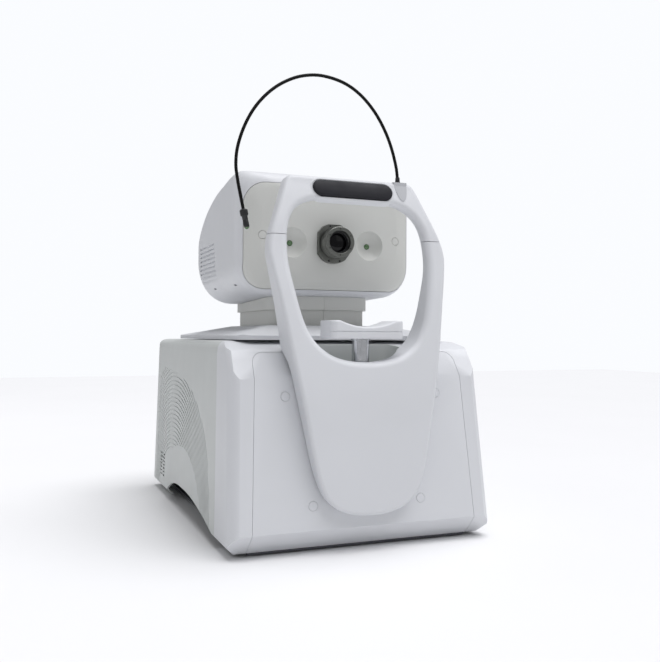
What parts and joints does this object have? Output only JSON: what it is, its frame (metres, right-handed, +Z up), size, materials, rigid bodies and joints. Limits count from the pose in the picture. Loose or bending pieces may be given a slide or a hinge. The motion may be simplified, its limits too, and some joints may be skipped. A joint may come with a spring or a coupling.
{
  "type": "fundus camera",
  "caption": "Table-top eye-imaging camera: box base with ridged sides, three-way motor stage, imaging head, face frame with forehead pad and chin rest, and a gooseneck lamp.",
  "frame": {"origin": "on the table, under the middle of the bounding box of the whole object", "axes": "+Z up; +Y from the patient's side to the operator's side; +X to the right as seen by someone facing the patient's side"},
  "size_m": [0.351, 0.5429, 0.5967],
  "materials": {
    "cover_white": "satin moulded plastic, cool white",
    "cover_grey": "satin moulded plastic, light grey",
    "head_cream": "satin moulded plastic, warm grey-white",
    "plate_dark": "powder-coated dark grey",
    "foot_rubber": "matte",
    "black_plastic": "fine grain",
    "socket_grey": "satin",
    "sheet_steel": "galvanised sheet",
    "ground_steel": "ground and polished",
    "cast_alloy": "machined",
    "lens_metal": "turned and anodised grey",
    "black_metal": "matte black anodised",
    "circuit_green": "solder mask with parts",
    "coated_glass": "dark coated optical glass",
    "window_glass": "green-tinted clear",
    "screen_glass": "glossy black, switched off",
    "pad_silicone": "matte silicone",
    "hose_black": "ribbed black jacket"
  },
  "bodies": {
    "base": {"base_plate": "plate_dark", "feet": "foot_rubber", "front_housing": "cover_white", "left_side_cover": "cover_grey", "right_side_cover": "cover_grey", "top_deck": "cover_white", "rear_cover": "cover_grey", "access_panel": "cover_white", "panel_plugs": "cover_white", "chin_well": "cover_grey", "power_inlet": "black_plastic", "signal_sockets": "sheet_steel", "power_supply": "sheet_steel", "main_board": "circuit_green", "fan_frame": "black_plastic", "y_rail_blocks": "cast_alloy", "y_rails": "ground_steel", "y_motor": "black_metal", "y_screw": "ground_steel", "frame_lower": "cover_white", "frame_cap": "cover_white", "forehead_bracket": "cover_white", "forehead_pad": "pad_silicone", "lamp_socket": "socket_grey", "chin_drive": "socket_grey"},
    "power_switch": {"power_rocker": "black_plastic"},
    "fan": {"fan_rotor": "black_plastic"},
    "y_stage": {"y_carriage": "cast_alloy", "x_rails": "ground_steel", "x_motor": "black_metal", "x_screw": "ground_steel"},
    "x_stage": {"x_carriage": "cast_alloy", "column_tube": "cast_alloy", "z_motor": "black_metal", "z_screw": "ground_steel", "stage_cover": "cover_white", "lower_neck_left": "head_cream", "lower_neck_right": "head_cream"},
    "head": {"column_piston": "ground_steel", "upper_neck_left": "head_cream", "upper_neck_right": "head_cream", "head_shell": "cover_white", "head_front_cover": "head_cream", "head_plugs": "head_cream", "optical_bench": "cast_alloy", "objective_flange": "lens_metal", "objective_barrel": "lens_metal", "objective_screws": "black_metal", "objective_lens": "coated_glass", "pupil_windows": "window_glass", "relay_tube": "black_metal", "camera_module": "black_metal", "display_panel": "screen_glass", "focus_rods": "ground_steel"},
    "focus_group": {"focus_carriage": "cast_alloy"},
    "chin": {"chin_rest": "cover_white"},
    "lamp_root": {"gooseneck_root": "hose_black"},
    "lamp_middle": {"gooseneck_middle": "hose_black"},
    "lamp_end": {"gooseneck_tip": "hose_black", "lamp_head": "black_metal"}
  },
  "joints": [
    {"name": "stage_forward", "type": "slide", "parent": "base", "child": "y_stage", "axis": [0, 1, 0], "range_m": [-0.012, 0.028]},
    {"name": "stage_sideways", "type": "slide", "parent": "y_stage", "child": "x_stage", "axis": [1, 0, 0], "range_m": [-0.04, 0.04]},
    {"name": "head_height", "type": "slide", "parent": "x_stage", "child": "head", "axis": [0, 0, 1], "range_m": [-0.012, 0.02]},
    {"name": "focus_travel", "type": "slide", "parent": "head", "child": "focus_group", "axis": [0, 1, 0], "range_m": [-0.015, 0.02]},
    {"name": "chin_height", "type": "slide", "parent": "base", "child": "chin", "axis": [0, 0, 1], "range_m": [-0.006, 0.052]},
    {"name": "power_switch_tilt", "type": "hinge", "parent": "base", "child": "power_switch", "pos_m": [-0.112, 0.262, 0.084], "axis": [1, 0, 0], "range_deg": [0, 10]},
    {"name": "fan_spin", "type": "hinge", "parent": "base", "child": "fan", "pos_m": [0.084, 0.2435, 0.15], "axis": [0, 1, 0], "continuous": true},
    {"name": "lamp_swivel", "type": "hinge", "parent": "base", "child": "lamp_root", "pos_m": [0.0698, -0.192, 0.467], "axis": [0, 0, 1], "range_deg": [-5, 110]},
    {"name": "lamp_bend_upper", "type": "hinge", "parent": "lamp_root", "child": "lamp_middle", "pos_m": [-0.01, -0.192, 0.5895], "axis": [0, 1, 0], "range_deg": [-1, 12]},
    {"name": "lamp_bend_lower", "type": "hinge", "parent": "lamp_middle", "child": "lamp_end", "pos_m": [-0.141, -0.192, 0.52], "axis": [0, 1, 0], "range_deg": [-1, 12]}
  ],
  "couplings": [
    {"joint": "lamp_bend_lower", "follows": "lamp_bend_upper", "ratio": 1}
  ]
}
